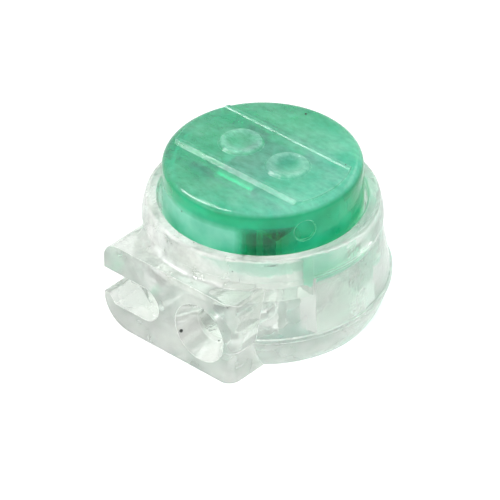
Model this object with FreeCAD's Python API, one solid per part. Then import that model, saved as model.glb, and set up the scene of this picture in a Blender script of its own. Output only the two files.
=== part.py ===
import FreeCAD, Part

"""Tap connector for two insulated telephone wires, in millimetres.

A clear moulded housing has a channel, open to one side, for the wire that runs on, and a round port for the wire
that is tapped off it. A green cap stands proud of the collar and carries a U-shaped contact with two forked legs.
Pressed down, it drives both legs over both wires, through a pool of sealing gel. +Z is the way the cap points,
-Y the way the port opens, and the origin is on the cap's axis, on the underside.
"""

import math
import os

from FreeCAD import Vector

# The two wires
PORT_RADIUS = 1.1
CHANNEL_RADIUS = 1.05
WIRE_SPACING = 3.95

# The heights that stack up from the underside
FLOOR_THICKNESS = 1.05
SLOT_END_GAP = 0.3
CAP_TRAVEL = 2.3
TIP_CLEARANCE = 0.1
DECK_COVER = 0.25
SKIRT_GAP = 0.05
RIM_LAP = 0.6
CAP_STAND = 2.57

# The cap
CONTACT_ROOM = 0.88
CAP_DRAFT = 0.06
CAP_PLATE = 0.85
CAP_EDGE_ROUND = 0.55
SKIRT_WALL = 0.6
SKIRT_INNER_CHAMFER = 0.15
BAND_WIDTH = 4.3
BAND_RISE = 0.12
BEAD_WIDTH = 0.2
BEAD_RISE = 0.07
PAD_RADIUS = 1.25
PAD_SPACING = 3.3
PAD_SHIFT = 0.1
PAD_RISE = 0.15
PAD_LIP = 0.15
PAD_DISH = 0.14
GATE_RADIUS = 0.62
GATE_DEPTH = 0.1
GATE_DROP = 1.5
GATE_DEGREES = -24
TONGUE_WIDTH = 3.8
TONGUE_DROP = 2.1
TONGUE_CHAMFER = 0.2
BARB_REACH = 0.25
BARB_HEIGHT = 1.0
BARB_LAND = 0.15
RAIL_DEPTH = 1.3
RAIL_WALL = 0.5

# The contact
CONTACT_SPACING = 4.5
CONTACT_THICKNESS = 0.45
BRIDGE_WIDTH = 2.6
BEND_RADIUS = 0.25
JAW_GAP = 0.45
JAW_ARM = 0.9
JAW_ROOT = 0.78
MOUTH_WIDTH = 1.3
MOUTH_DEPTH = 0.75
RELIEF_WIDTH = 1.4
RELIEF_ROOT = 1.3
TIP_CHAMFER = 0.35

# The round part of the housing
CAP_CLEARANCE = 0.15
COLLAR_WALL = 0.9
RIM_ROUND = 0.25
RIM_TAPER = 0.17
RIM_BULGE = 0.04
RIM_LEAD_IN = 0.12
RIM_BAND = 1.2
NECK_DROP = 1.7
NECK_INSET = 0.12
FLARE_REACH = 0.5
PARTING_HEIGHT = 2.0
PARTING_LAND = 0.25
LEDGE_WIDTH = 0.12
LAND_STEP = 0.08
FOOT_INSET = 0.75
FOOT_BULGE = 0.12
GROOVE_CLEARANCE = 0.15
BARB_CLEARANCE = 0.05
SLOT_CLEARANCE = 0.05
SLOT_SIDE_GAP = 0.1

# The square block in front, with the two wire entries
BLOCK_REACH = 0.78
JAW_THICKNESS = 1.7
CHANNEL_REACH = 2.9
LIP_RISE = 0.5
LIP_WIDTH = 0.35
LIP_RAMP = 0.45
FUNNEL_RADIUS = 1.72
FUNNEL_DEPTH = 1.1
PORT_WALL = 0.63
PORT_END = 1.2
LOWER_JAW_ROUND = 1.8
UPPER_JAW_ROUND = 0.95
BLOCK_EDGE_ROUND = 0.3
BLOCK_CORNER_ROUND = 0.7
ROOT_ROUND = 0.45

# The sealing gel
GEL_GAP = 0.1

# How far a cut runs past the part's outside, and how near two points are one point
CUT_OVERRUN = 1
SAME_POINT = 1e-6

# Heights that follow
PRESSED_TIP_Z = FLOOR_THICKNESS + SLOT_END_GAP
OPEN_TIP_Z = PRESSED_TIP_Z + CAP_TRAVEL
WIRE_Z = OPEN_TIP_Z - TIP_CLEARANCE - PORT_RADIUS
DECK_Z = WIRE_Z + PORT_RADIUS + DECK_COVER
SKIRT_FOOT_Z = DECK_Z + CAP_TRAVEL + SKIRT_GAP
RIM_Z = SKIRT_FOOT_Z + RIM_LAP
CAP_TOP_Z = RIM_Z + CAP_STAND
CAP_FLAT_Z = CAP_TOP_Z - BAND_RISE
PLATE_UNDER_Z = CAP_FLAT_Z - CAP_PLATE
RAIL_FOOT_Z = PLATE_UNDER_Z - RAIL_DEPTH
SHOULDER_Z = PLATE_UNDER_Z - BEND_RADIUS - CONTACT_THICKNESS
TONGUE_FOOT_Z = SKIRT_FOOT_Z - TONGUE_DROP
BARB_TOP_Z = TONGUE_FOOT_Z + BARB_HEIGHT
GROOVE_FLOOR_Z = TONGUE_FOOT_Z - CAP_TRAVEL - SLOT_END_GAP
NECK_Z = RIM_Z - NECK_DROP
CHANNEL_FLOOR_Z = WIRE_Z - CHANNEL_RADIUS
CHANNEL_ROOF_Z = WIRE_Z + CHANNEL_RADIUS
BLOCK_TOP_Z = CHANNEL_ROOF_Z + JAW_THICKNESS
GEL_TOP_Z = RAIL_FOOT_Z - CAP_TRAVEL - GEL_GAP

# Radii and reaches that follow
CONTACT_WIDTH = WIRE_SPACING + JAW_GAP + 2 * JAW_ARM
CONTACT_Y = CONTACT_SPACING / 2
CONTACT_OUTER_Y = CONTACT_Y + CONTACT_THICKNESS / 2
SKIRT_INNER_RADIUS = math.hypot(CONTACT_WIDTH / 2, CONTACT_OUTER_Y) + CONTACT_ROOM
CAP_RADIUS = SKIRT_INNER_RADIUS + SKIRT_WALL
CAP_FLAT_RADIUS = CAP_RADIUS - CAP_DRAFT - CAP_EDGE_ROUND
WELL_RADIUS = CAP_RADIUS + CAP_CLEARANCE
BARB_POCKET_RADIUS = CAP_RADIUS + BARB_REACH + CAP_CLEARANCE
COLLAR_RADIUS = WELL_RADIUS + COLLAR_WALL
BODY_RADIUS = COLLAR_RADIUS + FLARE_REACH
FOOT_RADIUS = BODY_RADIUS - FOOT_INSET
GROOVE_INNER_RADIUS = SKIRT_INNER_RADIUS - GROOVE_CLEARANCE
GEL_RADIUS = GROOVE_INNER_RADIUS - GEL_GAP
CHANNEL_X = -WIRE_SPACING / 2
PORT_X = WIRE_SPACING / 2
BLOCK_LEFT_X = CHANNEL_X - CHANNEL_REACH
BLOCK_RIGHT_X = PORT_X + FUNNEL_RADIUS + PORT_WALL
BLOCK_FRONT = COLLAR_RADIUS + BLOCK_REACH
PORT_END_Y = CONTACT_OUTER_Y + PORT_END
FRONT_AND_REAR = (-1, 1)
LEFT_AND_RIGHT = (-1, 1)


def box(x_low, x_high, y_low, y_high, z_low, z_high):
    return Part.makeBox(x_high - x_low, y_high - y_low, z_high - z_low, Vector(x_low, y_low, z_low))


def cylinder(radius, z_low, z_high):
    return Part.makeCylinder(radius, z_high - z_low, Vector(0, 0, z_low))


def tube(inner, outer, z_low, z_high):
    return cylinder(outer, z_low, z_high).cut(cylinder(inner, z_low, z_high))


def line(start, end):
    return Part.LineSegment(start, end).toShape()


def arc(start, middle, end):
    return Part.Arc(start, middle, end).toShape()


def bulged(start, end, bulge):
    """An arc between two points of the XZ plane that stands off its chord by bulge, to the right of its way."""
    chord = end - start
    side = Vector(chord.z, 0, -chord.x).normalize()
    return arc(start, (start + end) * 0.5 + side * bulge, end)


def corner(centre, radius, start_degrees, end_degrees):
    """A round corner in the XZ plane."""
    middle_degrees = (start_degrees + end_degrees) / 2
    points = []
    for degrees in (start_degrees, middle_degrees, end_degrees):
        turn = math.radians(degrees)
        points.append(centre + Vector(math.cos(turn), 0, math.sin(turn)) * radius)
    return arc(*points)


def joined(edges):
    """A face from edges in order, with a straight edge put in wherever one ends short of the next."""
    chain = []
    for number, edge in enumerate(edges):
        start = edge.Vertexes[0].Point
        before = edges[number - 1].Vertexes[-1].Point
        if before.distanceToPoint(start) > SAME_POINT:
            chain.append(line(before, start))
        chain.append(edge)
    return Part.Face(Part.Wire(chain))


def turned(edges):
    """The solid swept by a half profile in the XZ plane, right round the cap's axis."""
    return joined(edges).revolve(Vector(0, 0, 0), Vector(0, 0, 1), 360)


def along_y(face, y_low, y_high):
    face = face.copy()
    face.translate(Vector(0, y_low, 0))
    return face.extrude(Vector(0, y_high - y_low, 0))


def round_body():
    """The round part, before anything is cut: foot, parting ledge, flare, neck, and a rim that draws in."""
    ledge_z = PARTING_HEIGHT - PARTING_LAND / 2
    flare_z = PARTING_HEIGHT + PARTING_LAND / 2
    axis_foot = Vector(0, 0, 0)
    axis_rim = Vector(0, 0, RIM_Z)
    foot = Vector(FOOT_RADIUS, 0, 0)
    ledge = Vector(BODY_RADIUS - LEDGE_WIDTH, 0, ledge_z)
    land_low = Vector(BODY_RADIUS, 0, ledge_z)
    land_high = Vector(BODY_RADIUS, 0, flare_z)
    flare_foot = Vector(BODY_RADIUS - LAND_STEP, 0, flare_z)
    neck = Vector(COLLAR_RADIUS - NECK_INSET, 0, NECK_Z)
    band = Vector(COLLAR_RADIUS, 0, RIM_Z - RIM_BAND)
    shoulder = Vector(COLLAR_RADIUS - RIM_TAPER, 0, RIM_Z - RIM_ROUND)
    rim = Vector(shoulder.x - RIM_ROUND, 0, shoulder.z)
    return turned([
        line(axis_foot, foot),
        bulged(foot, ledge, FOOT_BULGE),
        line(ledge, land_low),
        line(land_low, land_high),
        line(flare_foot, neck),
        line(neck, band),
        bulged(band, shoulder, RIM_BULGE),
        corner(rim, RIM_ROUND, 0, 90),
        line(axis_rim, axis_foot),
    ])


def block_prism(right_x, z_low, z_high):
    """The block's outline seen from above, with its rounded front corner, back to the cap's axis."""
    prism = box(BLOCK_LEFT_X, right_x, -BLOCK_FRONT, 0, z_low, z_high)
    front_corner = [
        edge for edge in prism.Edges
        if edge.BoundBox.YMax < -BLOCK_FRONT + SAME_POINT
        and edge.BoundBox.XMin > right_x - SAME_POINT
    ]
    return prism.makeFillet(BLOCK_CORNER_ROUND, front_corner)


def block():
    """The square block: a large round under the lower jaw, a smaller one over the upper, and the parting ledge."""
    lower = Vector(BLOCK_LEFT_X + LOWER_JAW_ROUND, 0, LOWER_JAW_ROUND)
    upper = Vector(BLOCK_LEFT_X + UPPER_JAW_ROUND, 0, BLOCK_TOP_Z - UPPER_JAW_ROUND)
    right = Vector(BLOCK_RIGHT_X - BLOCK_EDGE_ROUND, 0, BLOCK_TOP_Z - BLOCK_EDGE_ROUND)
    front_view = joined([
        corner(lower, LOWER_JAW_ROUND, -90, -180),
        corner(upper, UPPER_JAW_ROUND, 180, 90),
        corner(right, BLOCK_EDGE_ROUND, 90, 0),
        line(Vector(BLOCK_RIGHT_X, 0, 0), Vector(lower.x, 0, 0)),
    ])
    above_ledge = block_prism(BLOCK_RIGHT_X, PARTING_HEIGHT, BLOCK_TOP_Z)
    below_ledge = block_prism(BLOCK_RIGHT_X - LEDGE_WIDTH, 0, PARTING_HEIGHT)
    return along_y(front_view, -BLOCK_FRONT, 0).common(above_ledge.fuse(below_ledge))


def root_fillet():
    """The hollow round where the collar rises out of the block's flat top."""
    centre = Vector(COLLAR_RADIUS + ROOT_ROUND, 0, BLOCK_TOP_Z + ROOT_ROUND)
    inside = COLLAR_RADIUS - COLLAR_WALL / 2
    below = BLOCK_TOP_Z - JAW_THICKNESS / 2
    ring = turned([
        corner(centre, ROOT_ROUND, 180, 270),
        line(Vector(centre.x, 0, below), Vector(inside, 0, below)),
        line(Vector(inside, 0, centre.z), Vector(COLLAR_RADIUS, 0, centre.z)),
    ])
    over_block = box(
        BLOCK_LEFT_X + UPPER_JAW_ROUND, BLOCK_RIGHT_X - BLOCK_EDGE_ROUND, -BLOCK_FRONT, 0, below, centre.z
    )
    return ring.common(over_block)


def run_channel():
    """What the run channel takes away: a round-ended slot from front to back, open to the left over a low lip."""
    outside = -BODY_RADIUS - CUT_OVERRUN
    lip_outer = BLOCK_LEFT_X
    lip_inner = lip_outer + LIP_WIDTH
    ramp_foot = lip_inner + LIP_RAMP
    lip_z = CHANNEL_FLOOR_Z + LIP_RISE
    profile = joined([
        corner(Vector(CHANNEL_X, 0, WIRE_Z), CHANNEL_RADIUS, 90, -90),
        line(Vector(ramp_foot, 0, CHANNEL_FLOOR_Z), Vector(lip_inner, 0, lip_z)),
        line(Vector(outside, 0, lip_z), Vector(outside, 0, CHANNEL_ROOF_Z)),
    ])
    return along_y(profile, -BLOCK_FRONT - CUT_OVERRUN, BODY_RADIUS + CUT_OVERRUN)


def tap_port():
    """What the tap port takes away: a blind bore with a funnel mouth, in the block's front face."""
    mouth = Vector(PORT_X, -BLOCK_FRONT, WIRE_Z)
    inward = Vector(0, 1, 0)
    bore = Part.makeCylinder(PORT_RADIUS, BLOCK_FRONT + PORT_END_Y, mouth, inward)
    funnel = Part.makeCone(FUNNEL_RADIUS, PORT_RADIUS, FUNNEL_DEPTH, mouth, inward)
    return bore.fuse(funnel)


def contact_slots():
    """What the contact's legs need below the deck: one narrow slot each, across both wires."""
    half_x = CONTACT_WIDTH / 2 + SLOT_SIDE_GAP
    half_y = CONTACT_THICKNESS / 2 + SLOT_CLEARANCE
    slots = []
    for side in FRONT_AND_REAR:
        y = side * CONTACT_Y
        slots.append(box(-half_x, half_x, y - half_y, y + half_y, FLOOR_THICKNESS, DECK_Z))
    return slots


def tongue_grooves():
    """What the cap's two tongues need: a curved groove below the deck, and a pocket that stops their barbs."""
    half_y = TONGUE_WIDTH / 2 + GROOVE_CLEARANCE
    stop_z = BARB_TOP_Z + BARB_CLEARANCE
    groove = tube(GROOVE_INNER_RADIUS, WELL_RADIUS, GROOVE_FLOOR_Z, DECK_Z)
    pocket = tube(WELL_RADIUS, BARB_POCKET_RADIUS, GROOVE_FLOOR_Z, stop_z)
    across = box(-BODY_RADIUS, BODY_RADIUS, -half_y, half_y, GROOVE_FLOOR_Z, stop_z)
    return groove.fuse(pocket).common(across)


def cap_well():
    """The round well that the cap slides in, with a lead-in at the rim."""
    well = cylinder(WELL_RADIUS, DECK_Z, RIM_Z)
    lead_in = Part.makeCone(
        WELL_RADIUS, WELL_RADIUS + RIM_LEAD_IN, RIM_LEAD_IN, Vector(0, 0, RIM_Z - RIM_LEAD_IN)
    )
    return well.fuse(lead_in)


def housing():
    solid = round_body().fuse([block(), root_fillet()])
    return solid.cut([cap_well(), tongue_grooves(), run_channel(), tap_port(), *contact_slots()])


def cap_shell():
    """The cap's plate and skirt: a shallow cup, mouth down, with a rounded top edge and a slight draft."""
    edge = Vector(CAP_FLAT_RADIUS, 0, CAP_FLAT_Z - CAP_EDGE_ROUND)
    return turned([
        line(Vector(SKIRT_INNER_RADIUS, 0, SKIRT_FOOT_Z), Vector(CAP_RADIUS, 0, SKIRT_FOOT_Z)),
        corner(edge, CAP_EDGE_ROUND, 0, 90),
        line(Vector(0, 0, CAP_FLAT_Z), Vector(0, 0, PLATE_UNDER_Z)),
        line(
            Vector(SKIRT_INNER_RADIUS - SKIRT_INNER_CHAMFER, 0, PLATE_UNDER_Z),
            Vector(SKIRT_INNER_RADIUS, 0, PLATE_UNDER_Z - SKIRT_INNER_CHAMFER),
        ),
    ])


def cap_band():
    """The raised band across the cap's flat top, with a sloping edge and a low bead along each side."""
    bead_z = CAP_TOP_Z + BEAD_RISE
    bead_outer = BAND_WIDTH / 2
    bead_inner = bead_outer - BEAD_WIDTH
    corners = [
        Vector(-CAP_FLAT_RADIUS, bead_outer + bead_z - CAP_FLAT_Z, CAP_FLAT_Z),
        Vector(-CAP_FLAT_RADIUS, bead_outer, bead_z),
        Vector(-CAP_FLAT_RADIUS, bead_inner, bead_z),
        Vector(-CAP_FLAT_RADIUS, bead_inner - BEAD_RISE, CAP_TOP_Z),
    ]
    mirrored = [Vector(point.x, -point.y, point.z) for point in reversed(corners)]
    section = Part.Face(Part.makePolygon([*corners, *mirrored, corners[0]]))
    band = section.extrude(Vector(2 * CAP_FLAT_RADIUS, 0, 0))
    return band.common(cylinder(CAP_FLAT_RADIUS, CAP_FLAT_Z, bead_z))


def cap_pads():
    """Two plain round pads on the band, each with a dished top, to press on."""
    top_radius = PAD_RADIUS - PAD_RISE
    dish_radius = top_radius - PAD_LIP
    ball_radius = (dish_radius**2 + PAD_DISH**2) / (2 * PAD_DISH)
    ball_z = CAP_TOP_Z + PAD_RISE - PAD_DISH + ball_radius
    pads = []
    for side in LEFT_AND_RIGHT:
        x = PAD_SHIFT + side * PAD_SPACING / 2
        pad = Part.makeCone(PAD_RADIUS, top_radius, PAD_RISE, Vector(x, 0, CAP_TOP_Z))
        pads.append(pad.cut(Part.makeSphere(ball_radius, Vector(x, 0, ball_z))))
    return pads


def cap_tongues():
    """The two tongues that reach down from the skirt, left and right, each with a barb across its foot."""
    half_y = TONGUE_WIDTH / 2
    barb_radius = CAP_RADIUS + BARB_REACH
    ring = turned([
        line(Vector(SKIRT_INNER_RADIUS, 0, SKIRT_FOOT_Z), Vector(SKIRT_INNER_RADIUS, 0, TONGUE_FOOT_Z)),
        line(
            Vector(CAP_RADIUS - TONGUE_CHAMFER, 0, TONGUE_FOOT_Z),
            Vector(barb_radius, 0, BARB_TOP_Z - BARB_LAND),
        ),
        line(Vector(barb_radius, 0, BARB_TOP_Z), Vector(CAP_RADIUS, 0, BARB_TOP_Z)),
        line(Vector(CAP_RADIUS, 0, SKIRT_FOOT_Z), Vector(SKIRT_INNER_RADIUS, 0, SKIRT_FOOT_Z)),
    ])
    return ring.common(box(-barb_radius, barb_radius, -half_y, half_y, TONGUE_FOOT_Z, SKIRT_FOOT_Z))


def cap_rails():
    """The two rails under the cap's plate, each of which grips the top of one leg of the contact."""
    half_x = CONTACT_WIDTH / 2 + RAIL_WALL
    half_y = CONTACT_THICKNESS / 2 + RAIL_WALL
    rails = []
    for side in FRONT_AND_REAR:
        y = side * CONTACT_Y
        rails.append(box(-half_x, half_x, y - half_y, y + half_y, RAIL_FOOT_Z, PLATE_UNDER_Z))
    return rails


def contact_seat():
    """What the contact takes out of the rails: a slot for each leg, and a notch for the bridge between them."""
    half_x = CONTACT_WIDTH / 2
    half_y = CONTACT_THICKNESS / 2
    half_bridge = BRIDGE_WIDTH / 2
    seat = [
        box(-half_bridge, half_bridge, -CONTACT_OUTER_Y, CONTACT_OUTER_Y, RAIL_FOOT_Z, PLATE_UNDER_Z)
    ]
    for side in FRONT_AND_REAR:
        y = side * CONTACT_Y
        seat.append(box(-half_x, half_x, y - half_y, y + half_y, RAIL_FOOT_Z, SHOULDER_Z))
    return seat


def gate_mark():
    """The shallow round recess on the cap's side that the mould's gate leaves."""
    middle_z = CAP_TOP_Z - GATE_DROP
    turn = math.radians(GATE_DEGREES)
    outward = Vector(math.cos(turn), math.sin(turn), 0)
    bottom = outward * (CAP_RADIUS - CAP_DRAFT - GATE_DEPTH) + Vector(0, 0, middle_z)
    return Part.makeCylinder(GATE_RADIUS, GATE_DEPTH + SKIRT_WALL, bottom, outward)


def button_cap():
    solid = cap_shell().fuse([cap_band(), cap_tongues(), *cap_pads(), *cap_rails()])
    return solid.cut([gate_mark(), *contact_seat()]).removeSplitter()


def wire_jaw(x):
    """What one insulation-piercing jaw takes out of a leg: a narrow slot with a wide mouth."""
    half_gap = JAW_GAP / 2
    end_z = SHOULDER_Z - JAW_ROOT - half_gap
    throat_z = OPEN_TIP_Z + MOUTH_DEPTH
    return joined([
        corner(Vector(x, 0, end_z), half_gap, 180, 0),
        line(Vector(x + half_gap, 0, throat_z), Vector(x + MOUTH_WIDTH / 2, 0, OPEN_TIP_Z)),
        line(Vector(x - MOUTH_WIDTH / 2, 0, OPEN_TIP_Z), Vector(x - half_gap, 0, throat_z)),
    ])


def contact_leg(y):
    """One leg: two jaws for the two wires, with a relief between them so that each can spring."""
    half = CONTACT_WIDTH / 2
    outline = joined([
        line(Vector(-half, 0, SHOULDER_Z), Vector(-half, 0, OPEN_TIP_Z + TIP_CHAMFER)),
        line(Vector(-half + TIP_CHAMFER, 0, OPEN_TIP_Z), Vector(half - TIP_CHAMFER, 0, OPEN_TIP_Z)),
        line(Vector(half, 0, OPEN_TIP_Z + TIP_CHAMFER), Vector(half, 0, SHOULDER_Z)),
    ])
    relief_end = SHOULDER_Z - RELIEF_ROOT - RELIEF_WIDTH / 2
    relief = joined([
        corner(Vector(0, 0, relief_end), RELIEF_WIDTH / 2, 180, 0),
        line(Vector(RELIEF_WIDTH / 2, 0, OPEN_TIP_Z), Vector(-RELIEF_WIDTH / 2, 0, OPEN_TIP_Z)),
    ])
    y_low = y - CONTACT_THICKNESS / 2
    y_high = y + CONTACT_THICKNESS / 2
    leg = along_y(outline, y_low, y_high)
    gaps = [relief, wire_jaw(CHANNEL_X), wire_jaw(PORT_X)]
    return leg.cut([along_y(gap, y_low, y_high) for gap in gaps])


def contact_bridge():
    """The bent strip that joins the two legs under the cap's plate."""
    outer_bend = BEND_RADIUS + CONTACT_THICKNESS
    front = Vector(CONTACT_OUTER_Y - outer_bend, 0, SHOULDER_Z)
    rear = Vector(-front.x, 0, SHOULDER_Z)
    profile = joined([
        corner(front, outer_bend, 0, 90),
        corner(rear, outer_bend, 90, 180),
        corner(rear, BEND_RADIUS, 180, 90),
        corner(front, BEND_RADIUS, 90, 0),
    ])
    bridge = along_y(profile, -BRIDGE_WIDTH / 2, BRIDGE_WIDTH / 2)
    bridge.rotate(Vector(0, 0, 0), Vector(0, 0, 1), 90)
    return bridge


def contact():
    legs = [contact_leg(side * CONTACT_Y) for side in FRONT_AND_REAR]
    return contact_bridge().fuse(legs).removeSplitter()


def sealing_gel():
    """The pool of gel on the deck, inside the skirt's path and open where the contact's legs come down."""
    pool = cylinder(GEL_RADIUS, DECK_Z, GEL_TOP_Z)
    half_x = CONTACT_WIDTH / 2 + GEL_GAP
    half_y = CONTACT_THICKNESS / 2 + GEL_GAP
    paths = []
    for side in FRONT_AND_REAR:
        y = side * CONTACT_Y
        paths.append(box(-half_x, half_x, y - half_y, y + half_y, DECK_Z, GEL_TOP_Z))
    return pool.cut(paths)


def main():
    os.makedirs("parts", exist_ok=True)
    pieces = {
        "housing": housing(),
        "button_cap": button_cap(),
        "contact": contact(),
        "sealing_gel": sealing_gel(),
    }
    for name, shape in pieces.items():
        shape.exportStep(f"parts/{name}.step")
        print(name, "solids", len(shape.Solids), "valid", shape.isValid(), "volume", round(shape.Volume, 3))


main()
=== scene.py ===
import math

import bmesh
import bpy
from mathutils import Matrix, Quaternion, Vector, noise


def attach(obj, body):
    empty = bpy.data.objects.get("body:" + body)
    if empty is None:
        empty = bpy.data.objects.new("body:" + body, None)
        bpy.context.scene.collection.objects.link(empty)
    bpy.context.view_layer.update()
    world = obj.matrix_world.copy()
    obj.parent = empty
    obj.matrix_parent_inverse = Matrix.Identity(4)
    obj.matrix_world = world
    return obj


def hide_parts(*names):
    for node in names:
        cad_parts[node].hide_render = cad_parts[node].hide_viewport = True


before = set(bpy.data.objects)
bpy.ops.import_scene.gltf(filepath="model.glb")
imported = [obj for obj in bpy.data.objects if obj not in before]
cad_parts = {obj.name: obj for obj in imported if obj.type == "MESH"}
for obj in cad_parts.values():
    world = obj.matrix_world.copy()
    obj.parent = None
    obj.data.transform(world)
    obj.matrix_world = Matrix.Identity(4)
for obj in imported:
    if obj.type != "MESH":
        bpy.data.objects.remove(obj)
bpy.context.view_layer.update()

MM = 0.001

# The camera, as the photograph was taken
CAMERA_TURN = math.radians(41.81)
CAMERA_LIFT = math.radians(35.95)
CAMERA_DISTANCE = 292.5 * MM
CAMERA_LENS = 392.4
SENSOR_WIDTH = 36
CLIP_START = 0.005
CLIP_END = 20
AXIS_POINT = Vector((0, 0, 4.333 * MM))
SHIFT_RIGHT = 0.6875 * MM
SHIFT_UP = 1.0857 * MM

# The floor and the world
FLOOR_SIZE = 3.0
FLOOR_DROP = 0.01 * MM
FLOOR_COLOUR = (0.8, 0.8, 0.8)
FLOOR_GLOW = 0.42
FLOOR_GLOW_IN_PLASTIC = 0.28
WORLD_STRENGTH = 0.8
BACKGROUND_STRENGTH = 1.0
WHITE = (1, 1, 1)

# The lamps: place, width, height, power, and the turn about the lamp's own axis
LAMPS = {
    "key": (Vector((-0.09, -0.06, 0.17)), 0.05, 0.05, 0.058, 0.0),
    "fill": (Vector((0.17, -0.1, 0.08)), 0.12, 0.12, 0.13, 0.0),
    "front": (Vector((-0.02, -0.2, 0.05)), 0.12, 0.06, 0.03, 0.0),
    "low": (Vector((-0.11, -0.118, 0.122)), 0.03, 0.03, 0.015, 0.0),
    "rear": (Vector((0.02, 0.17, 0.12)), 0.14, 0.05, 0.05, 0.0),
    "glint": (Vector((-0.088, -0.102, 0.152)), 0.18, 0.035, 0.38, math.radians(34.5)),
}

# The values that noise mostly keeps between
NOISE_SPAN = (0.3, 0.7)
GEL_NOISE_SPAN = (0.35, 0.65)

# Edges: how far they are rounded, and how far the wear and painted highlight along them reach
BEVEL_SAMPLES = 6
EDGE_RADIUS = 0.05 * MM
EDGE_WEAR_AND_HIGHLIGHT_RADIUS = 0.07 * MM
CAP_EDGE_WEAR_AND_HIGHLIGHT_RADIUS = 0.11 * MM

# Cosines: how far a rounded edge turns before it counts as worn and painted highlit, and how square to an
# axis a face is
WEAR_AND_HIGHLIGHT_SPAN = (0.995, 0.9)
FACING_SPAN = (0.5, 0.8)

# Where the clear plastic changes, in mm: along z, or as the name says
WELL_RADIUS_SPAN = (5.9, 6.1)
RIM_TOP_SPAN = (6.3, 6.5)
COLLAR_FOOT_SPAN = (4.2, 5.2)
COLLAR_X_SPAN = (3.5, -1.5)
RIGHT_X_SPAN = (1.5, 4.5)
RIGHT_FOOT_SPAN = (3.4, 4.2)
BLOCK_Y_SPAN = (-6.2, -7.0)
BLOCK_TOP_SPAN = (5.5, 5.0)

# The clear plastic: each pair is for the clearest places and the cloudiest
CLEAR_IOR = 1.36
INSIDE_CLARITY = (0.93, 0.84)
WALL_CLARITY = (0.8, 0.66)
RIGHT_CLARITY = (0.85, 0.74)
BLOCK_CLARITY = (0.76, 0.6)
COLLAR_CLARITY = (0.78, 0.5)
CLEAR_COLOURS = ((0.82, 0.85, 0.82), (0.9, 0.885, 0.865))
INSIDE_ROUGHNESS = (0.08, 0.16)
OUTSIDE_ROUGHNESS = (0.03, 0.1)
# Paler outer edges: partly frosted wear, partly a painted highlight
CLEAR_WEAR_AND_HIGHLIGHT_COLOUR = (0.96, 0.96, 0.95)
CLEAR_WEAR_AND_HIGHLIGHT_SHARE = (0.3, 1.0)
CLEAR_WEAR_AND_HIGHLIGHT_ROUGHNESS = 0.35
WAVES = (0.0, 2.0)
CLEAR_LAMP_TINT = (0.93, 0.95, 0.94)
CLEAR_BODY_COLOUR = (0.7, 0.77, 0.73)
CLEAR_BODY_DENSITY = 80

# Where the cap's plastic changes, in mm
PLATE_SPAN = (8.85, 9.05)
RAISED_SPAN = (9.36, 9.46)
TONGUE_SPAN = (6.4, 6.1)
BELOW_PLATE_SPAN = (8.3, 7.9)
# From here up to the plate, and on the right past CAP_RIGHT_X_SPAN, the skirt gets painted shade: a less
# clear deep green
UP_TO_PLATE_SPAN = (7.9, 8.3)
CAP_LEFT_X_SPAN = (2.9, 2.3)
CAP_RIGHT_X_SPAN = (4.2, 4.8)
CAP_ACROSS_X_SPAN = (-1, 4)

# The cap's plastic
CAP_IOR = 1.46
CAP_SPECULAR = 0.27
SKIRT_CLARITY = (0.98, 0.92)
# Less clear, so that the deep green shows there as painted shade
SKIRT_RIGHT_CLARITY = (0.66, 0.5)
SKIRT_LEFT_CLARITY = (0.5, 0.35)
PLATE_CLARITY = (0.7, 0.52)
PLATE_RIGHT_CLARITY = (0.42, 0.2)
TONGUE_CLARITY = (0.25, 0.1)
# The deep greens are the clear skirt's tint, darkened for the painted shade under the top edge
DEEP_GREENS = ((0.003, 0.5, 0.25), (0.03, 0.64, 0.37))
MILKY_GREENS = ((0.1, 0.62, 0.42), (0.3, 0.78, 0.61))
# Paler edges and raised tops: partly frosted wear, partly a painted highlight
CAP_WEAR_AND_HIGHLIGHT_COLOUR = (0.42, 0.86, 0.7)
CAP_WEAR_AND_HIGHLIGHT_SHARE = (0.0, 1.0)
CAP_WEAR_AND_HIGHLIGHT_ROUGHNESS = 0.3
RAISED_WEAR_AND_HIGHLIGHT_SHARE = (0.15, 0.9)
CAP_ROUGHNESS = (0.02, 0.11)
CAP_LAMP_TINT = (0.68, 1.0, 0.93)
CAP_BODY_COLOUR = (0.02, 0.95, 0.84)
CAP_BODY_DENSITY = 1400

# How much light worn, painted-highlit plastic lets in, clear or green
WEAR_AND_HIGHLIGHT_CLARITY = 0.3

# The tinned contact, with painted shade on the legs' front
LEG_FRONT_SPAN = (7.3, 6.5)
LEG_FRONT_Y_SPAN = (-1, -1.5)
BRIGHT_METALS = ((0.74, 0.74, 0.73), (0.9, 0.9, 0.88))
PAINTED_SHADE_METALS = ((0.15, 0.155, 0.15), (0.27, 0.27, 0.265))
METAL_ROUGHNESS = (0.24, 0.42)

# The gel
GEL_IOR = 1.42
GEL_COLOURS = ((0.93, 0.9, 0.9), (0.98, 0.96, 0.95))
GEL_CLARITY = (0.4, 0.1)
GEL_ROUGHNESS = (0.1, 0.3)
GEL_LAMP_TINT = (0.85, 0.84, 0.83)
GEL_VOXEL = 0.07 * MM
GEL_INSET = 0.03 * MM
GEL_WAVE = 0.9 * MM
GEL_SMOOTHING = 0.5
GEL_SMOOTHING_ROUNDS = 8

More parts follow.
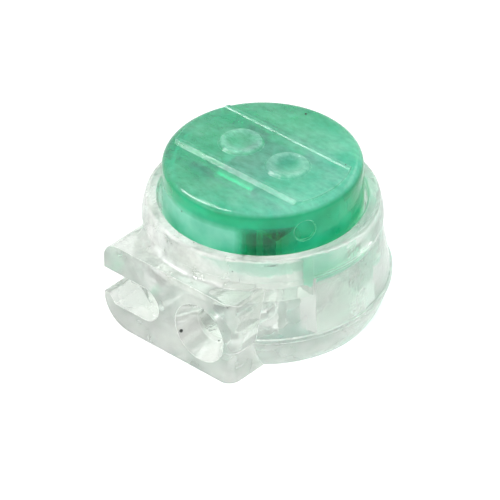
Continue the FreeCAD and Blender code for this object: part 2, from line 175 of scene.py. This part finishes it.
# The dark specks in the skin of the plastic, as the photograph shows them: place and radius, in mm
HOUSING_SPECKS = [
    ((0.511, -7.089, 1.771), 0.1),
    ((2.283, -7.25, 4.152), 0.045),
    ((3.696, -7.25, 3.409), 0.035),
    ((3.929, -7.2, 5.05), 0.04),
    ((2.937, -5.686, 6.1), 0.045),
    ((2.266, -6.023, 1.389), 0.05),
]
CAP_SPECKS = [
    ((-0.859, 4.441, 9.19), 0.06),
    ((4.018, 2.076, 9.38), 0.04),
    ((-1.011, -5.309, 7.906), 0.035),
]
SPECK_COLOURS = ((0.012, 0.014, 0.013), (0.05, 0.06, 0.055))
SPECK_ROUGHNESS = 0.6
SPECK_LUMP = 0.3
SPECK_LUMPS_PER_MM = 20


def new_object(name, data):
    piece = bpy.data.objects.new(name, data)
    bpy.context.scene.collection.objects.link(piece)
    return piece


def make_camera():
    right = Vector((math.cos(CAMERA_TURN), math.sin(CAMERA_TURN), 0))
    level = math.cos(CAMERA_LIFT)
    back = Vector((math.sin(CAMERA_TURN) * level, -math.cos(CAMERA_TURN) * level, math.sin(CAMERA_LIFT)))
    up = back.cross(right)
    look = AXIS_POINT - right * SHIFT_RIGHT - up * SHIFT_UP
    lens = bpy.data.cameras.new("camera")
    lens.sensor_width = SENSOR_WIDTH
    lens.lens = CAMERA_LENS
    lens.clip_start = CLIP_START
    lens.clip_end = CLIP_END
    camera = new_object("camera", lens)
    camera.location = look + back * CAMERA_DISTANCE
    camera.rotation_euler = back.to_track_quat("Z", "Y").to_euler()
    bpy.context.scene.camera = camera


def make_lamp(name, place, width, height, power, turn):
    """An area lamp that faces the part."""
    lamp = bpy.data.lights.new(name, "AREA")
    lamp.shape = "RECTANGLE"
    lamp.size = width
    lamp.size_y = height
    lamp.energy = power
    holder = new_object(name, lamp)
    holder.location = place
    aim = (place - AXIS_POINT).to_track_quat("Z", "Y")
    holder.rotation_euler = (aim @ Quaternion((0, 0, 1), turn)).to_euler()
    return holder


def make_lamps():
    """The fill gives no reflection. The glint gives nothing else: it runs along the cap's rounded edge."""
    made = {name: make_lamp(name, *values) for name, values in LAMPS.items()}
    made["fill"].visible_glossy = False
    made["glint"].visible_diffuse = False
    made["glint"].visible_transmission = False


def material(name):
    """A new node material with nothing in it but its output."""
    made = bpy.data.materials.new(name)
    made.use_nodes = True
    tree = made.node_tree
    tree.nodes.clear()
    return made, tree, tree.nodes.new("ShaderNodeOutputMaterial")


def add(tree, kind, **values):
    """A node with some of its inputs set, by their names."""
    node = tree.nodes.new("ShaderNode" + kind)
    for name, value in values.items():
        node.inputs[name.replace("_", " ")].default_value = value
    return node


def maths(tree, operation, kind="Math"):
    """A node that does one operation on numbers, or on vectors."""
    node = tree.nodes.new("ShaderNode" + kind)
    node.operation = operation
    return node


def link(tree, source, target):
    tree.links.new(source, target)


def from_to(tree, source, span):
    """0 where a value is at the span's first end, 1 where it is at its second, and even in between."""
    node = add(tree, "MapRange", From_Min=span[0], From_Max=span[1])
    link(tree, source, node.inputs["Value"])
    return node.outputs["Result"]


def along(tree, source, axis):
    """One part of a vector."""
    parts = tree.nodes.new("ShaderNodeSeparateXYZ")
    link(tree, source, parts.inputs[0])
    return parts.outputs[axis]


def size_of(tree, source):
    """A value without its sign."""
    node = maths(tree, "ABSOLUTE")
    link(tree, source, node.inputs[0])
    return node.outputs[0]


def by_place(tree, span, axis="Z"):
    """0 on one side of the piece and 1 on the other, with the change over a span of places in mm."""
    place = tree.nodes.new("ShaderNodeTexCoord").outputs["Object"]
    return from_to(tree, along(tree, place, axis), [end * MM for end in span])


def by_radius(tree, span):
    """0 near the cap's axis and 1 away from it, with the change over a span of radii in mm."""
    place = tree.nodes.new("ShaderNodeTexCoord").outputs["Object"]
    flat = maths(tree, "MULTIPLY", "VectorMath")
    flat.inputs[1].default_value = (1, 1, 0)
    length = maths(tree, "LENGTH", "VectorMath")
    link(tree, place, flat.inputs[0])
    link(tree, flat.outputs["Vector"], length.inputs[0])
    return from_to(tree, length.outputs["Value"], [end * MM for end in span])


def facing(tree, axis):
    """1 on faces square to an axis, and 0 on those that lie along it."""
    normal = tree.nodes.new("ShaderNodeTexCoord").outputs["Normal"]
    return from_to(tree, size_of(tree, along(tree, normal, axis)), FACING_SPAN)


def blended(tree, share, first, second):
    """The first value where share is 0, and the second where it is 1."""
    node = tree.nodes.new("ShaderNodeMix")
    link(tree, share, node.inputs["Factor"])
    for value, socket in ((first, node.inputs["A"]), (second, node.inputs["B"])):
        if isinstance(value, float):
            socket.default_value = value
        else:
            link(tree, value, socket)
    return node.outputs["Result"]


def mixed(tree, share, first, second):
    """The first colour where share is 0, and the second where it is 1."""
    node = tree.nodes.new("ShaderNodeMix")
    node.data_type = "RGBA"
    link(tree, share, node.inputs[0])
    for value, socket in ((first, node.inputs[6]), (second, node.inputs[7])):
        if isinstance(value, tuple):
            socket.default_value = (*value, 1)
        else:
            link(tree, value, socket)
    return node.outputs[2]


def joined(tree, operation, first, second):
    """Two values as one."""
    node = maths(tree, operation)
    link(tree, first, node.inputs[0])
    link(tree, second, node.inputs[1])
    return node.outputs[0]


def both(tree, first, second):
    return joined(tree, "MULTIPLY", first, second)


def either(tree, first, second):
    return joined(tree, "MAXIMUM", first, second)


def seen_directly(tree):
    """1 for a ray from the camera, a mirror or through clear plastic, and 0 for any other."""
    path = tree.nodes.new("ShaderNodeLightPath")
    beyond = either(tree, path.outputs["Is Glossy Ray"], path.outputs["Is Transmission Ray"])
    return either(tree, path.outputs["Is Camera Ray"], beyond)


def make_world():
    world = bpy.data.worlds.new("studio")
    bpy.context.scene.world = world
    world.use_nodes = True
    tree = world.node_tree
    tree.nodes.clear()
    output = tree.nodes.new("ShaderNodeOutputWorld")
    light = add(tree, "Background", Color=(*WHITE, 1), Strength=WORLD_STRENGTH)
    backdrop = add(tree, "Background", Color=(*WHITE, 1), Strength=BACKGROUND_STRENGTH)
    mix = tree.nodes.new("ShaderNodeMixShader")
    link(tree, seen_directly(tree), mix.inputs[0])
    link(tree, light.outputs[0], mix.inputs[1])
    link(tree, backdrop.outputs[0], mix.inputs[2])
    link(tree, mix.outputs[0], output.inputs["Surface"])


def pale_floor():
    """White, with the part's shadow, and with a little glow for the camera and through the plastic."""
    made, tree, output = material("pale_floor")
    sheet = add(tree, "BsdfDiffuse", Color=(*FLOOR_COLOUR, 1))
    glow = add(tree, "Emission", Color=(*WHITE, 1))
    path = tree.nodes.new("ShaderNodeLightPath")
    in_plastic = maths(tree, "MULTIPLY")
    in_plastic.inputs[1].default_value = FLOOR_GLOW_IN_PLASTIC
    link(tree, seen_directly(tree), in_plastic.inputs[0])
    strength = blended(tree, path.outputs["Is Camera Ray"], in_plastic.outputs[0], FLOOR_GLOW)
    together = tree.nodes.new("ShaderNodeAddShader")
    link(tree, strength, glow.inputs["Strength"])
    link(tree, sheet.outputs[0], together.inputs[0])
    link(tree, glow.outputs[0], together.inputs[1])
    link(tree, together.outputs[0], output.inputs["Surface"])
    return made


def make_floor():
    mesh = bpy.data.meshes.new("floor")
    half = FLOOR_SIZE / 2
    corners = [(-half, -half, 0), (half, -half, 0), (half, half, 0), (-half, half, 0)]
    mesh.from_pydata(corners, [], [(0, 1, 2, 3)])
    floor = new_object("floor", mesh)
    floor.location.z = -FLOOR_DROP
    mesh.materials.append(pale_floor())


def object_noise(tree, scale, detail=2.0, roughness=0.5, stretch=(1, 1, 1)):
    """Noise in the object's own metres, so that it stays put. A stretch under 1 draws it out."""
    place = tree.nodes.new("ShaderNodeTexCoord")
    drawn = add(tree, "Mapping", Scale=stretch)
    texture = add(tree, "TexNoise", Scale=scale, Detail=detail, Roughness=roughness)
    link(tree, place.outputs["Object"], drawn.inputs["Vector"])
    link(tree, drawn.outputs[0], texture.inputs["Vector"])
    return texture.outputs["Fac"]


def ramp(tree, source, colours, span=NOISE_SPAN):
    """From one colour to another as a value goes over a span."""
    node = tree.nodes.new("ShaderNodeValToRGB")
    for element, place, colour in zip(node.color_ramp.elements, span, colours):
        element.position = place
        element.color = (*colour, 1)
    link(tree, source, node.inputs["Fac"])
    return node.outputs["Color"]


def spread(tree, source, values):
    """From one value to another as noise goes over its span."""
    low, high = NOISE_SPAN
    node = add(tree, "MapRange", From_Min=low, From_Max=high, To_Min=values[0], To_Max=values[1])
    link(tree, source, node.inputs["Value"])
    return node.outputs["Result"]


def rounded(tree, radius):
    """The surface's direction as if its edges were rounded."""
    edges = tree.nodes.new("ShaderNodeBevel")
    edges.samples = BEVEL_SAMPLES
    edges.inputs["Radius"].default_value = radius
    return edges.outputs[0]


def bump(tree, source, strength, distance):
    """Fine relief, over edges that are a little rounded as moulded ones are."""
    node = add(tree, "Bump", Strength=strength, Distance=distance)
    link(tree, source, node.inputs["Height"])
    link(tree, rounded(tree, EDGE_RADIUS), node.inputs["Normal"])
    return node.outputs["Normal"]


def edges_worn_and_highlit(tree, radius):
    """1 along the piece's edges and 0 on its faces: where frosted wear and a painted highlight go."""
    plain = tree.nodes.new("ShaderNodeNewGeometry")
    turn = maths(tree, "DOT_PRODUCT", "VectorMath")
    link(tree, rounded(tree, radius), turn.inputs[0])
    link(tree, plain.outputs["Normal"], turn.inputs[1])
    return from_to(tree, size_of(tree, turn.outputs["Value"]), WEAR_AND_HIGHLIGHT_SPAN)


def let_lamps_through(tree, shader, output, tint):
    """Clear plastic: lamps shine through it, tinted, and everything else meets the plastic itself."""
    path = tree.nodes.new("ShaderNodeLightPath")
    clear = add(tree, "BsdfTransparent", Color=(*tint, 1))
    mix = tree.nodes.new("ShaderNodeMixShader")
    link(tree, path.outputs["Is Shadow Ray"], mix.inputs[0])
    link(tree, shader.outputs[0], mix.inputs[1])
    link(tree, clear.outputs[0], mix.inputs[2])
    link(tree, mix.outputs[0], output.inputs["Surface"])


def absorb(tree, output, colour, density):
    """The colour that plastic takes on with depth."""
    inside = add(tree, "VolumeAbsorption", Color=(*colour, 1), Density=density)
    link(tree, inside.outputs[0], output.inputs["Volume"])


def clear_plastic():
    """Clearest inside, milky in the skin of the block and the collar, and pale along its outer edges: frosted
    wear with a painted highlight.
    """
    made, tree, output = material("clear_plastic")
    shader = add(tree, "BsdfPrincipled", IOR=CLEAR_IOR)
    cloud = object_noise(tree, scale=420, detail=3)
    frost = object_noise(tree, scale=1300, detail=3, roughness=0.6)
    grain = object_noise(tree, scale=5200, detail=2)

    outside = either(tree, by_radius(tree, WELL_RADIUS_SPAN), by_place(tree, RIM_TOP_SPAN))
    edges = both(tree, edges_worn_and_highlit(tree, EDGE_WEAR_AND_HIGHLIGHT_RADIUS), outside)
    worn_and_highlit = both(tree, edges, spread(tree, frost, CLEAR_WEAR_AND_HIGHLIGHT_SHARE))
    collar = both(tree, by_place(tree, COLLAR_FOOT_SPAN), by_place(tree, COLLAR_X_SPAN, "X"))
    right = both(tree, by_place(tree, RIGHT_X_SPAN, "X"), by_place(tree, RIGHT_FOOT_SPAN))
    block = both(tree, by_place(tree, BLOCK_Y_SPAN, "Y"), by_place(tree, BLOCK_TOP_SPAN))

    wall = blended(tree, right, spread(tree, cloud, WALL_CLARITY), spread(tree, cloud, RIGHT_CLARITY))
    plain = blended(tree, block, wall, spread(tree, cloud, BLOCK_CLARITY))
    skin = blended(tree, collar, plain, spread(tree, frost, COLLAR_CLARITY))
    clarity = blended(tree, outside, spread(tree, cloud, INSIDE_CLARITY), skin)
    inside_roughness = spread(tree, grain, INSIDE_ROUGHNESS)
    roughness = blended(tree, outside, inside_roughness, spread(tree, grain, OUTSIDE_ROUGHNESS))
    waves = joined(tree, "ADD", grain, spread(tree, frost, WAVES))

    # Painted highlight: the outer edges are painted paler, as well as frosted
    colour = mixed(tree, worn_and_highlit, ramp(tree, cloud, CLEAR_COLOURS), CLEAR_WEAR_AND_HIGHLIGHT_COLOUR)
    link(tree, colour, shader.inputs["Base Color"])
    link(tree, blended(tree, worn_and_highlit, clarity, WEAR_AND_HIGHLIGHT_CLARITY), shader.inputs["Transmission Weight"])
    link(tree, blended(tree, worn_and_highlit, roughness, CLEAR_WEAR_AND_HIGHLIGHT_ROUGHNESS), shader.inputs["Roughness"])
    link(tree, bump(tree, waves, strength=0.2, distance=0.03 * MM), shader.inputs["Normal"])
    let_lamps_through(tree, shader, output, CLEAR_LAMP_TINT)
    absorb(tree, output, CLEAR_BODY_COLOUR, CLEAR_BODY_DENSITY)
    return made


def green_plastic():
    """Clear at the skirt's front, milkier beside it and on top, with painted shade under the top edge and on
    the right, and pale edges and raised tops: a painted highlight with frosted wear.
    """
    made, tree, output = material("green_plastic")
    shader = add(tree, "BsdfPrincipled", IOR=CAP_IOR, Specular_IOR_Level=CAP_SPECULAR)
    cloud = object_noise(tree, scale=500, detail=3)
    streak = object_noise(tree, scale=3400, detail=4, roughness=0.65, stretch=(0.6, 1, 1))

    # Painted highlight: the edges and raised tops are painted paler, as well as frosted
    edges = both(tree, edges_worn_and_highlit(tree, CAP_EDGE_WEAR_AND_HIGHLIGHT_RADIUS), spread(tree, streak, CAP_WEAR_AND_HIGHLIGHT_SHARE))
    raised_worn_and_highlit = both(tree, by_place(tree, RAISED_SPAN), spread(tree, streak, RAISED_WEAR_AND_HIGHLIGHT_SHARE))
    worn_and_highlit = either(tree, edges, raised_worn_and_highlit)
    plate = by_place(tree, PLATE_SPAN)
    tongue = by_place(tree, TONGUE_SPAN)
    left = both(tree, by_place(tree, CAP_LEFT_X_SPAN, "X"), by_place(tree, BELOW_PLATE_SPAN))
    right = either(tree, by_place(tree, CAP_RIGHT_X_SPAN, "X"), by_place(tree, UP_TO_PLATE_SPAN))
    across = by_place(tree, CAP_ACROSS_X_SPAN, "X")

    skirt = spread(tree, cloud, SKIRT_CLARITY)
    # Painted shade: the band under the top edge and the right side are less clear, so the deep green darkens
    # them
    skirt = blended(tree, right, skirt, spread(tree, cloud, SKIRT_RIGHT_CLARITY))
    skirt = blended(tree, left, skirt, spread(tree, cloud, SKIRT_LEFT_CLARITY))
    top = spread(tree, streak, PLATE_CLARITY)
    top = blended(tree, across, top, spread(tree, streak, PLATE_RIGHT_CLARITY))
    upper = blended(tree, plate, skirt, top)
    clarity = blended(tree, tongue, upper, spread(tree, cloud, TONGUE_CLARITY))
    roughness = spread(tree, streak, CAP_ROUGHNESS)
    hazy = either(tree, either(tree, plate, left), tongue)
    green = mixed(tree, hazy, ramp(tree, cloud, DEEP_GREENS), ramp(tree, cloud, MILKY_GREENS))

    link(tree, mixed(tree, worn_and_highlit, green, CAP_WEAR_AND_HIGHLIGHT_COLOUR), shader.inputs["Base Color"])
    link(tree, blended(tree, worn_and_highlit, clarity, WEAR_AND_HIGHLIGHT_CLARITY), shader.inputs["Transmission Weight"])
    link(tree, blended(tree, worn_and_highlit, roughness, CAP_WEAR_AND_HIGHLIGHT_ROUGHNESS), shader.inputs["Roughness"])
    link(tree, bump(tree, streak, strength=0.28, distance=0.03 * MM), shader.inputs["Normal"])
    let_lamps_through(tree, shader, output, CAP_LAMP_TINT)
    absorb(tree, output, CAP_BODY_COLOUR, CAP_BODY_DENSITY)
    return made


def tinned_metal():
    made, tree, output = material("tinned_metal")
    shader = add(tree, "BsdfPrincipled", Metallic=1.0)
    cloud = object_noise(tree, scale=900, detail=4)
    drawn = object_noise(tree, scale=9000, detail=3, stretch=(1, 1, 0.06))
    # Painted shade: the front faces of the front legs are painted darker than the tin
    front = both(tree, by_place(tree, LEG_FRONT_SPAN), by_place(tree, LEG_FRONT_Y_SPAN, "Y"))
    painted_shade = both(tree, front, facing(tree, "Y"))
    colour = mixed(tree, painted_shade, ramp(tree, cloud, BRIGHT_METALS), ramp(tree, cloud, PAINTED_SHADE_METALS))
    link(tree, colour, shader.inputs["Base Color"])
    link(tree, spread(tree, drawn, METAL_ROUGHNESS), shader.inputs["Roughness"])
    link(tree, bump(tree, drawn, strength=0.2, distance=0.01 * MM), shader.inputs["Normal"])
    link(tree, shader.outputs[0], output.inputs["Surface"])
    return made


def cloudy_gel():
    made, tree, output = material("cloudy_gel")
    shader = add(tree, "BsdfPrincipled", IOR=GEL_IOR)
    cloud = object_noise(tree, scale=900, detail=4, roughness=0.6)
    link(tree, ramp(tree, cloud, GEL_COLOURS, GEL_NOISE_SPAN), shader.inputs["Base Color"])
    link(tree, spread(tree, cloud, GEL_CLARITY), shader.inputs["Transmission Weight"])
    link(tree, spread(tree, cloud, GEL_ROUGHNESS), shader.inputs["Roughness"])
    link(tree, bump(tree, cloud, strength=0.4, distance=0.06 * MM), shader.inputs["Normal"])
    let_lamps_through(tree, shader, output, GEL_LAMP_TINT)
    return made


def soft_copy(name, node):
    """A CAD solid's shape as one soft piece: its edges rounded off, and drawn in a little all round."""
    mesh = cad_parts[node].data.copy()
    mesh.name = name
    piece = new_object(name, mesh)
    remesh = piece.modifiers.new("remesh", "REMESH")
    remesh.mode = "VOXEL"
    remesh.voxel_size = GEL_VOXEL
    smooth = piece.modifiers.new("smooth", "SMOOTH")
    smooth.factor = GEL_SMOOTHING
    smooth.iterations = GEL_SMOOTHING_ROUNDS
    bpy.context.view_layer.update()
    evaluated = piece.evaluated_get(bpy.context.evaluated_depsgraph_get())
    soft = bpy.data.meshes.new_from_object(evaluated)
    piece.modifiers.clear()
    piece.data = soft
    normals = [vertex.normal.copy() for vertex in soft.vertices]
    for vertex, normal in zip(soft.vertices, normals):
        wave = noise.noise(vertex.co / GEL_WAVE)
        vertex.co -= normal * GEL_INSET * (1 + wave)
    for polygon in soft.polygons:
        polygon.use_smooth = True
    soft.materials.clear()
    return piece


def make_gel():
    gel = soft_copy("gel_pool", "sealing_gel")
    gel.data.materials.append(cloudy_gel())
    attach(gel, "shell")
    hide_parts("sealing_gel")


def dark_speck():
    made, tree, output = material("dark_speck")
    shader = add(tree, "BsdfPrincipled", Roughness=SPECK_ROUGHNESS)
    grain = object_noise(tree, scale=9000, detail=2)
    link(tree, ramp(tree, grain, SPECK_COLOURS), shader.inputs["Base Color"])
    link(tree, shader.outputs[0], output.inputs["Surface"])
    return made


def make_specks(name, body, specks):
    """Small dark lumps in the skin of the plastic."""
    mesh = bpy.data.meshes.new(name)
    shape = bmesh.new()
    for place, radius in specks:
        made = bmesh.ops.create_icosphere(shape, subdivisions=2, radius=radius * MM)
        for vertex in made["verts"]:
            sample = (vertex.co + Vector(place)) * SPECK_LUMPS_PER_MM / MM
            lump = 1 + SPECK_LUMP * noise.noise(sample)
            vertex.co = vertex.co * lump + Vector(place) * MM
    shape.to_mesh(mesh)
    shape.free()
    for polygon in mesh.polygons:
        polygon.use_smooth = True
    mesh.materials.append(dark_speck())
    piece = new_object(name, mesh)
    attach(piece, body)


def dress(node, made):
    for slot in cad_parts[node].material_slots:
        slot.material = made


bpy.context.scene.view_settings.view_transform = "Standard"
make_camera()
make_world()
make_floor()
make_lamps()

dress("housing", clear_plastic())
dress("button_cap", green_plastic())
dress("contact", tinned_metal())
make_gel()
make_specks("housing_specks", "shell", HOUSING_SPECKS)
make_specks("cap_specks", "button", CAP_SPECKS)
